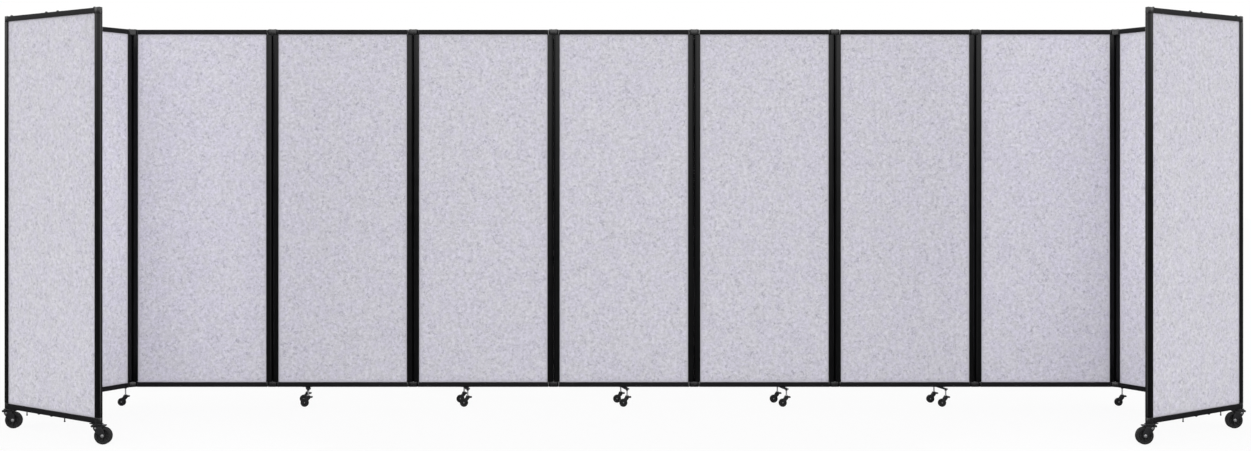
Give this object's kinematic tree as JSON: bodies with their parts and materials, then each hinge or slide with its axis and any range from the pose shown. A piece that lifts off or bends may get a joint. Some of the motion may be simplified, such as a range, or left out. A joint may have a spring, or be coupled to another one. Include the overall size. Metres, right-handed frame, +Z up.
{
  "type": "accordion folding partition",
  "caption": "Free-standing run of framed felt boards on two-pin hinges that fold flat against each other, carried by swivel casters, with braked casters under the end panels.",
  "frame": {"origin": "on the floor, under the middle of the partition's plan box", "axes": "+Z up, +X along the straight row to the right as seen from the front, -Y towards the front"},
  "size_m": [6.7714, 1.2993, 2.249],
  "materials": {
    "frame_black": "black powder coat, satin",
    "felt": "heathered pale lavender-grey pressed felt",
    "link_grey": "dark grey cast metal, mottled",
    "caster_black": "black paint, satin",
    "pedal_black": "black moulded plastic, matt",
    "wheel_black": "dark grey rubber tread on a black core",
    "stud_metal": "dark plated steel, satin"
  },
  "bodies": {
    "panel_06": {"panel_06_frame": "frame_black", "panel_06_felt_board": "felt"},
    "panel_01": {"panel_01_frame": "frame_black", "panel_01_felt_board": "felt", "panel_01_rail_studs": "stud_metal"},
    "panel_02": {"panel_02_frame": "frame_black", "panel_02_felt_board": "felt"},
    "panel_03": {"panel_03_frame": "frame_black", "panel_03_felt_board": "felt"},
    "panel_04": {"panel_04_frame": "frame_black", "panel_04_felt_board": "felt"},
    "panel_05": {"panel_05_frame": "frame_black", "panel_05_felt_board": "felt"},
    "panel_07": {"panel_07_frame": "frame_black", "panel_07_felt_board": "felt"},
    "panel_08": {"panel_08_frame": "frame_black", "panel_08_felt_board": "felt"},
    "panel_09": {"panel_09_frame": "frame_black", "panel_09_felt_board": "felt"},
    "panel_10": {"panel_10_frame": "frame_black", "panel_10_felt_board": "felt"},
    "panel_11": {"panel_11_frame": "frame_black", "panel_11_felt_board": "felt", "panel_11_rail_studs": "stud_metal"},
    "hinge_01": {"hinge_01_link": "link_grey"},
    "hinge_02": {"hinge_02_link": "link_grey"},
    "hinge_03": {"hinge_03_link": "link_grey"},
    "hinge_04": {"hinge_04_link": "link_grey"},
    "hinge_05": {"hinge_05_link": "link_grey"},
    "hinge_06": {"hinge_06_link": "link_grey"},
    "hinge_07": {"hinge_07_link": "link_grey"},
    "hinge_08": {"hinge_08_link": "link_grey"},
    "hinge_09": {"hinge_09_link": "link_grey"},
    "hinge_10": {"hinge_10_link": "link_grey"},
    "panel_01_hinge_caster_fork": {"panel_01_hinge_caster_fork": "caster_black"},
    "panel_01_hinge_caster_wheel": {"panel_01_hinge_caster_wheel": "wheel_black"},
    "panel_01_hinge_caster_pedal": {"panel_01_hinge_caster_pedal": "pedal_black"},
    "panel_01_free_caster_fork": {"panel_01_free_caster_fork": "caster_black"},
    "panel_01_free_caster_wheel": {"panel_01_free_caster_wheel": "wheel_black"},
    "panel_01_free_caster_pedal": {"panel_01_free_caster_pedal": "pedal_black"},
    "panel_11_hinge_caster_fork": {"panel_11_hinge_caster_fork": "caster_black"},
    "panel_11_hinge_caster_wheel": {"panel_11_hinge_caster_wheel": "wheel_black"},
    "panel_11_hinge_caster_pedal": {"panel_11_hinge_caster_pedal": "pedal_black"},
    "panel_11_free_caster_fork": {"panel_11_free_caster_fork": "caster_black"},
    "panel_11_free_caster_wheel": {"panel_11_free_caster_wheel": "wheel_black"},
    "panel_11_free_caster_pedal": {"panel_11_free_caster_pedal": "pedal_black"},
    "panel_04_front_caster": {"panel_04_front_caster": "caster_black"},
    "panel_04_back_caster": {"panel_04_back_caster": "caster_black"},
    "panel_05_front_caster": {"panel_05_front_caster": "caster_black"},
    "panel_05_back_caster": {"panel_05_back_caster": "caster_black"},
    "panel_06_front_caster": {"panel_06_front_caster": "caster_black"},
    "panel_06_back_caster": {"panel_06_back_caster": "caster_black"},
    "panel_07_front_caster": {"panel_07_front_caster": "caster_black"},
    "panel_07_back_caster": {"panel_07_back_caster": "caster_black"},
    "panel_08_front_caster": {"panel_08_front_caster": "caster_black"},
    "panel_08_back_caster": {"panel_08_back_caster": "caster_black"},
    "panel_02_single_caster": {"panel_02_single_caster": "caster_black"},
    "panel_10_single_caster": {"panel_10_single_caster": "caster_black"}
  },
  "joints": [
    {"name": "hinge_01_inner", "type": "hinge", "parent": "panel_02", "child": "hinge_01", "pos_m": [-3.36821, -0.14569, 1.175], "axis": [0, 0, 1], "range_deg": [-128.5, 41.5]},
    {"name": "hinge_01_outer", "type": "hinge", "parent": "hinge_01", "child": "panel_01", "pos_m": [-3.36158, -0.17556, 1.175], "axis": [0, 0, 1], "range_deg": [-128.5, 41.5]},
    {"name": "hinge_02_inner", "type": "hinge", "parent": "panel_03", "child": "hinge_02", "pos_m": [-2.9247, 0.56317, 1.175], "axis": [0, 0, -1], "range_deg": [-60.5, 119.5]},
    {"name": "hinge_02_outer", "type": "hinge", "parent": "hinge_02", "child": "panel_02", "pos_m": [-2.95133, 0.5481, 1.175], "axis": [0, 0, -1], "range_deg": [-60.5, 119.5]},
    {"name": "hinge_03_inner", "type": "hinge", "parent": "panel_04", "child": "hinge_03", "pos_m": [-2.0847, 0.56317, 1.175], "axis": [0, 0, 1], "range_deg": [-90, 90]},
    {"name": "hinge_03_outer", "type": "hinge", "parent": "hinge_03", "child": "panel_03", "pos_m": [-2.1153, 0.56317, 1.175], "axis": [0, 0, 1], "range_deg": [-90, 90]},
    {"name": "hinge_04_inner", "type": "hinge", "parent": "panel_05", "child": "hinge_04", "pos_m": [-1.2447, 0.56317, 1.175], "axis": [0, 0, -1], "range_deg": [-90, 90]},
    {"name": "hinge_04_outer", "type": "hinge", "parent": "hinge_04", "child": "panel_04", "pos_m": [-1.2753, 0.56317, 1.175], "axis": [0, 0, -1], "range_deg": [-90, 90]},
    {"name": "hinge_05_inner", "type": "hinge", "parent": "panel_06", "child": "hinge_05", "pos_m": [-0.4047, 0.56317, 1.175], "axis": [0, 0, 1], "range_deg": [-90, 90]},
    {"name": "hinge_05_outer", "type": "hinge", "parent": "hinge_05", "child": "panel_05", "pos_m": [-0.4353, 0.56317, 1.175], "axis": [0, 0, 1], "range_deg": [-90, 90]},
    {"name": "hinge_06_inner", "type": "hinge", "parent": "panel_06", "child": "hinge_06", "pos_m": [0.4047, 0.56317, 1.175], "axis": [0, 0, 1], "range_deg": [-90, 90]},
    {"name": "hinge_06_outer", "type": "hinge", "parent": "hinge_06", "child": "panel_07", "pos_m": [0.4353, 0.56317, 1.175], "axis": [0, 0, 1], "range_deg": [-90, 90]},
    {"name": "hinge_07_inner", "type": "hinge", "parent": "panel_07", "child": "hinge_07", "pos_m": [1.2447, 0.56317, 1.175], "axis": [0, 0, -1], "range_deg": [-90, 90]},
    {"name": "hinge_07_outer", "type": "hinge", "parent": "hinge_07", "child": "panel_08", "pos_m": [1.2753, 0.56317, 1.175], "axis": [0, 0, -1], "range_deg": [-90, 90]},
    {"name": "hinge_08_inner", "type": "hinge", "parent": "panel_08", "child": "hinge_08", "pos_m": [2.0847, 0.56317, 1.175], "axis": [0, 0, 1], "range_deg": [-90, 90]},
    {"name": "hinge_08_outer", "type": "hinge", "parent": "hinge_08", "child": "panel_09", "pos_m": [2.1153, 0.56317, 1.175], "axis": [0, 0, 1], "range_deg": [-90, 90]},
    {"name": "hinge_09_inner", "type": "hinge", "parent": "panel_09", "child": "hinge_09", "pos_m": [2.9247, 0.56317, 1.175], "axis": [0, 0, -1], "range_deg": [-119.5, 60.5]},
    {"name": "hinge_09_outer", "type": "hinge", "parent": "hinge_09", "child": "panel_10", "pos_m": [2.95133, 0.5481, 1.175], "axis": [0, 0, -1], "range_deg": [-119.5, 60.5]},
    {"name": "hinge_10_inner", "type": "hinge", "parent": "panel_10", "child": "hinge_10", "pos_m": [3.36821, -0.14569, 1.175], "axis": [0, 0, 1], "range_deg": [-41.5, 128.5]},
    {"name": "hinge_10_outer", "type": "hinge", "parent": "hinge_10", "child": "panel_11", "pos_m": [3.36158, -0.17556, 1.175], "axis": [0, 0, 1], "range_deg": [-41.5, 128.5]},
    {"name": "panel_01_hinge_caster_swivel", "type": "hinge", "parent": "panel_01", "child": "panel_01_hinge_caster_fork", "pos_m": [-3.35163, -0.18227, 0.1], "axis": [0, 0, 1], "continuous": true},
    {"name": "panel_01_hinge_caster_roll", "type": "hinge", "parent": "panel_01_hinge_caster_fork", "child": "panel_01_hinge_caster_wheel", "pos_m": [-3.32363, -0.18227, 0.045], "axis": [0, -1, 0], "continuous": true},
    {"name": "panel_01_hinge_caster_brake", "type": "hinge", "parent": "panel_01_hinge_caster_fork", "child": "panel_01_hinge_caster_pedal", "pos_m": [-3.35963, -0.18227, 0.084], "axis": [0, -1, 0], "range_deg": [0, 18]},
    {"name": "panel_01_free_caster_swivel", "type": "hinge", "parent": "panel_01", "child": "panel_01_free_caster_fork", "pos_m": [-2.70051, -0.62146, 0.1], "axis": [0, 0, 1], "continuous": true},
    {"name": "panel_01_free_caster_roll", "type": "hinge", "parent": "panel_01_free_caster_fork", "child": "panel_01_free_caster_wheel", "pos_m": [-2.67251, -0.62146, 0.045], "axis": [0, -1, 0], "continuous": true},
    {"name": "panel_01_free_caster_brake", "type": "hinge", "parent": "panel_01_free_caster_fork", "child": "panel_01_free_caster_pedal", "pos_m": [-2.70851, -0.62146, 0.084], "axis": [0, -1, 0], "range_deg": [0, 18]},
    {"name": "panel_11_hinge_caster_swivel", "type": "hinge", "parent": "panel_11", "child": "panel_11_hinge_caster_fork", "pos_m": [3.35163, -0.18227, 0.1], "axis": [0, 0, 1], "continuous": true},
    {"name": "panel_11_hinge_caster_roll", "type": "hinge", "parent": "panel_11_hinge_caster_fork", "child": "panel_11_hinge_caster_wheel", "pos_m": [3.32363, -0.18227, 0.045], "axis": [0, 1, 0], "continuous": true},
    {"name": "panel_11_hinge_caster_brake", "type": "hinge", "parent": "panel_11_hinge_caster_fork", "child": "panel_11_hinge_caster_pedal", "pos_m": [3.35963, -0.18227, 0.084], "axis": [0, 1, 0], "range_deg": [0, 18]},
    {"name": "panel_11_free_caster_swivel", "type": "hinge", "parent": "panel_11", "child": "panel_11_free_caster_fork", "pos_m": [2.70051, -0.62146, 0.1], "axis": [0, 0, 1], "continuous": true},
    {"name": "panel_11_free_caster_roll", "type": "hinge", "parent": "panel_11_free_caster_fork", "child": "panel_11_free_caster_wheel", "pos_m": [2.67251, -0.62146, 0.045], "axis": [0, 1, 0], "continuous": true},
    {"name": "panel_11_free_caster_brake", "type": "hinge", "parent": "panel_11_free_caster_fork", "child": "panel_11_free_caster_pedal", "pos_m": [2.70851, -0.62146, 0.084], "axis": [0, 1, 0], "range_deg": [0, 18]},
    {"name": "panel_04_front_caster_swivel", "type": "hinge", "parent": "panel_04", "child": "panel_04_front_caster", "pos_m": [-1.871, 0.49117, 0.1], "axis": [0, 0, 1], "continuous": true},
    {"name": "panel_04_back_caster_swivel", "type": "hinge", "parent": "panel_04", "child": "panel_04_back_caster", "pos_m": [-1.909, 0.63517, 0.1], "axis": [0, 0, 1], "continuous": true},
    {"name": "panel_05_front_caster_swivel", "type": "hinge", "parent": "panel_05", "child": "panel_05_front_caster", "pos_m": [-0.926, 0.49117, 0.1], "axis": [0, 0, 1], "continuous": true},
    {"name": "panel_05_back_caster_swivel", "type": "hinge", "parent": "panel_05", "child": "panel_05_back_caster", "pos_m": [-0.964, 0.63517, 0.1], "axis": [0, 0, 1], "continuous": true},
    {"name": "panel_06_front_caster_swivel", "type": "hinge", "parent": "panel_06", "child": "panel_06_front_caster", "pos_m": [0.019, 0.49117, 0.1], "axis": [0, 0, 1], "continuous": true},
    {"name": "panel_06_back_caster_swivel", "type": "hinge", "parent": "panel_06", "child": "panel_06_back_caster", "pos_m": [-0.019, 0.63517, 0.1], "axis": [0, 0, 1], "continuous": true},
    {"name": "panel_07_front_caster_swivel", "type": "hinge", "parent": "panel_07", "child": "panel_07_front_caster", "pos_m": [0.964, 0.49117, 0.1], "axis": [0, 0, 1], "continuous": true},
    {"name": "panel_07_back_caster_swivel", "type": "hinge", "parent": "panel_07", "child": "panel_07_back_caster", "pos_m": [0.926, 0.63517, 0.1], "axis": [0, 0, 1], "continuous": true},
    {"name": "panel_08_front_caster_swivel", "type": "hinge", "parent": "panel_08", "child": "panel_08_front_caster", "pos_m": [1.909, 0.49117, 0.1], "axis": [0, 0, 1], "continuous": true},
    {"name": "panel_08_back_caster_swivel", "type": "hinge", "parent": "panel_08", "child": "panel_08_back_caster", "pos_m": [1.871, 0.63517, 0.1], "axis": [0, 0, 1], "continuous": true},
    {"name": "panel_02_single_caster_swivel", "type": "hinge", "parent": "panel_02", "child": "panel_02_single_caster", "pos_m": [-2.96678, 0.52239, 0.1], "axis": [0, 0, 1], "continuous": true},
    {"name": "panel_10_single_caster_swivel", "type": "hinge", "parent": "panel_10", "child": "panel_10_single_caster", "pos_m": [2.96678, 0.52239, 0.1], "axis": [0, 0, 1], "continuous": true}
  ]
}
